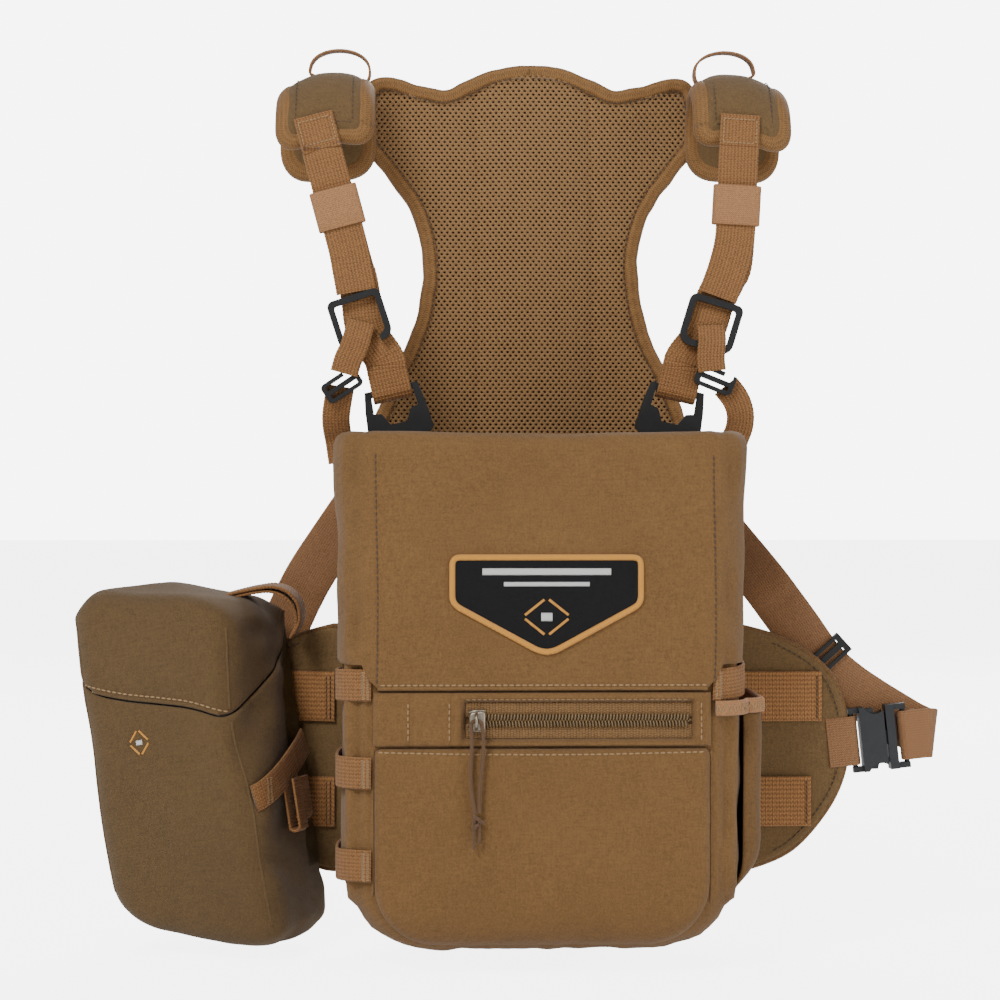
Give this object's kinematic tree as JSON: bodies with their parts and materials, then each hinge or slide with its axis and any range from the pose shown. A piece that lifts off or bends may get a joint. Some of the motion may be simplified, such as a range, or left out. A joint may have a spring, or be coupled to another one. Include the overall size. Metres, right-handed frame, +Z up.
{
  "type": "binocular harness pack",
  "caption": "Chest pack with a forward-opening lid, zipped front pocket, folding side wings, a lidded side pouch, padded mesh yoke, webbing straps and quick-release buckles.",
  "frame": {"origin": "centre of the pack's back face, where it lies on the wearer's chest", "axes": "+X to the right seen from the front, +Y out of the back face towards the wearer, +Z up"},
  "size_m": [0.4397, 0.1576, 0.4503],
  "materials": {
    "shell_fabric": "coyote brown woven nylon",
    "webbing": "ribbed nylon webbing",
    "buckle_plastic": "moulded",
    "steel": "nickel",
    "coil": "nylon coil",
    "patch": "embroidered",
    "foam_lining": "brushed lining over foam",
    "pouch_lining": "smooth coated nylon",
    "elastic": "elastic webbing",
    "mesh": "spacer mesh",
    "tape": "zip tape and cord"
  },
  "bodies": {
    "harness": {"pack_front_panel": "shell_fabric", "pack_gusset": "shell_fabric", "pack_back_panel": "shell_fabric", "pack_liner": "foam_lining", "front_pocket": "shell_fabric", "zip_panel": "shell_fabric", "zipper_tape": "tape", "zipper_coil": "coil", "side_pocket": "shell_fabric", "side_pocket_binding": "webbing", "side_loops": "webbing", "pack_magnets": "steel", "yoke_mesh": "mesh", "yoke_foam": "foam_lining", "yoke_back": "shell_fabric", "yoke_binding": "webbing", "belt_anchors": "webbing", "shoulder_pads": "shell_fabric", "pad_bindings": "webbing", "lash_loops": "webbing", "left_shoulder_strap": "webbing", "right_shoulder_strap": "webbing", "tether_frames": "buckle_plastic", "tether_straps": "webbing", "tether_adjusters": "buckle_plastic", "top_clips": "buckle_plastic"},
    "lid": {"lid_hood": "shell_fabric", "lid_patch": "patch", "lid_magnets": "steel"},
    "zip_slider": {"zipper_slider": "steel"},
    "zip_cord": {"zipper_pull": "tape"},
    "right_wing_body": {"right_wing": "shell_fabric", "right_wing_webbing": "webbing", "right_buckle_web": "webbing", "right_buckle_socket": "buckle_plastic", "right_belt_strap": "webbing", "right_triglide": "buckle_plastic"},
    "right_plug": {"right_buckle_plug": "buckle_plastic", "right_belt_tail": "webbing"},
    "right_upper_prong": {"right_prong_upper": "buckle_plastic"},
    "right_lower_prong": {"right_prong_lower": "buckle_plastic"},
    "left_wing_body": {"left_wing": "shell_fabric", "left_wing_webbing": "webbing", "left_buckle_web": "webbing", "left_buckle_socket": "buckle_plastic", "left_belt_strap": "webbing", "left_triglide": "buckle_plastic", "pouch_shell": "shell_fabric", "pouch_liner": "pouch_lining", "pouch_band": "webbing", "pouch_tail_loop": "webbing", "pouch_straps": "webbing"},
    "left_plug": {"left_buckle_plug": "buckle_plastic", "left_belt_tail": "webbing"},
    "left_upper_prong": {"left_prong_upper": "buckle_plastic"},
    "left_lower_prong": {"left_prong_lower": "buckle_plastic"},
    "pouch_cover": {"pouch_lid": "shell_fabric", "pouch_pull_loop": "webbing"},
    "left_keeper_body": {"left_keeper": "elastic"},
    "right_keeper_body": {"right_keeper": "elastic"}
  },
  "joints": [
    {"name": "lid_hinge", "type": "hinge", "parent": "harness", "child": "lid", "pos_m": [0, -0.095, 0], "axis": [1, 0, 0], "range_deg": [0, 115]},
    {"name": "zip_travel", "type": "slide", "parent": "harness", "child": "zip_slider", "axis": [1, 0, 0], "range_m": [0, 0.096]},
    {"name": "zip_pull_swing", "type": "hinge", "parent": "zip_slider", "child": "zip_cord", "pos_m": [-0.031, -0.0974, -0.014], "axis": [-1, 0, 0], "range_deg": [0, 60]},
    {"name": "right_wing_fold", "type": "hinge", "parent": "harness", "child": "right_wing_body", "pos_m": [0.091, 0, 0], "axis": [0, 0, 1], "range_deg": [-10, 42]},
    {"name": "left_wing_fold", "type": "hinge", "parent": "harness", "child": "left_wing_body", "pos_m": [-0.091, 0, 0], "axis": [0, 0, -1], "range_deg": [-14, 30]},
    {"name": "pouch_lid_hinge", "type": "hinge", "parent": "left_wing_body", "child": "pouch_cover", "pos_m": [-0.18509, -0.03905, -0.0053], "axis": [0.9244, -0.3438, 0.165], "range_deg": [0, 110]},
    {"name": "right_buckle_release", "type": "slide", "parent": "right_wing_body", "child": "right_plug", "axis": [0.9945, 0, 0.1045], "range_m": [0, 0.022]},
    {"name": "left_buckle_release", "type": "slide", "parent": "left_wing_body", "child": "left_plug", "axis": [-0.9321, 0.3467, 0.1045], "range_m": [0, 0.022]},
    {"name": "right_prong_upper_squeeze", "type": "hinge", "parent": "right_plug", "child": "right_upper_prong", "pos_m": [0.17839, 0.0036, -0.02029], "axis": [0, -1, 0], "range_deg": [0, 7], "stiffness_Nm_per_rad": 0.02},
    {"name": "right_prong_lower_squeeze", "type": "hinge", "parent": "right_plug", "child": "right_lower_prong", "pos_m": [0.18077, 0.0036, -0.04296], "axis": [0, 1, 0], "range_deg": [0, 7], "stiffness_Nm_per_rad": 0.02},
    {"name": "left_prong_upper_squeeze", "type": "hinge", "parent": "left_plug", "child": "left_upper_prong", "pos_m": [-0.17165, 0.03384, -0.02029], "axis": [0.3486, 0.9373, 0], "range_deg": [0, 7], "stiffness_Nm_per_rad": 0.02},
    {"name": "left_prong_lower_squeeze", "type": "hinge", "parent": "left_plug", "child": "left_lower_prong", "pos_m": [-0.17389, 0.03467, -0.04296], "axis": [-0.3486, -0.9373, 0], "range_deg": [0, 7], "stiffness_Nm_per_rad": 0.02},
    {"name": "left_keeper_slide", "type": "slide", "parent": "harness", "child": "left_keeper_body", "axis": [-0.2588, 0, 0.9659], "range_m": [-0.006, 0.013]},
    {"name": "right_keeper_slide", "type": "slide", "parent": "harness", "child": "right_keeper_body", "axis": [0.0523, 0, 0.9986], "range_m": [-0.006, 0.013]}
  ],
  "couplings": [
    {"joint": "right_prong_lower_squeeze", "follows": "right_prong_upper_squeeze", "ratio": 1},
    {"joint": "left_prong_lower_squeeze", "follows": "left_prong_upper_squeeze", "ratio": 1}
  ]
}
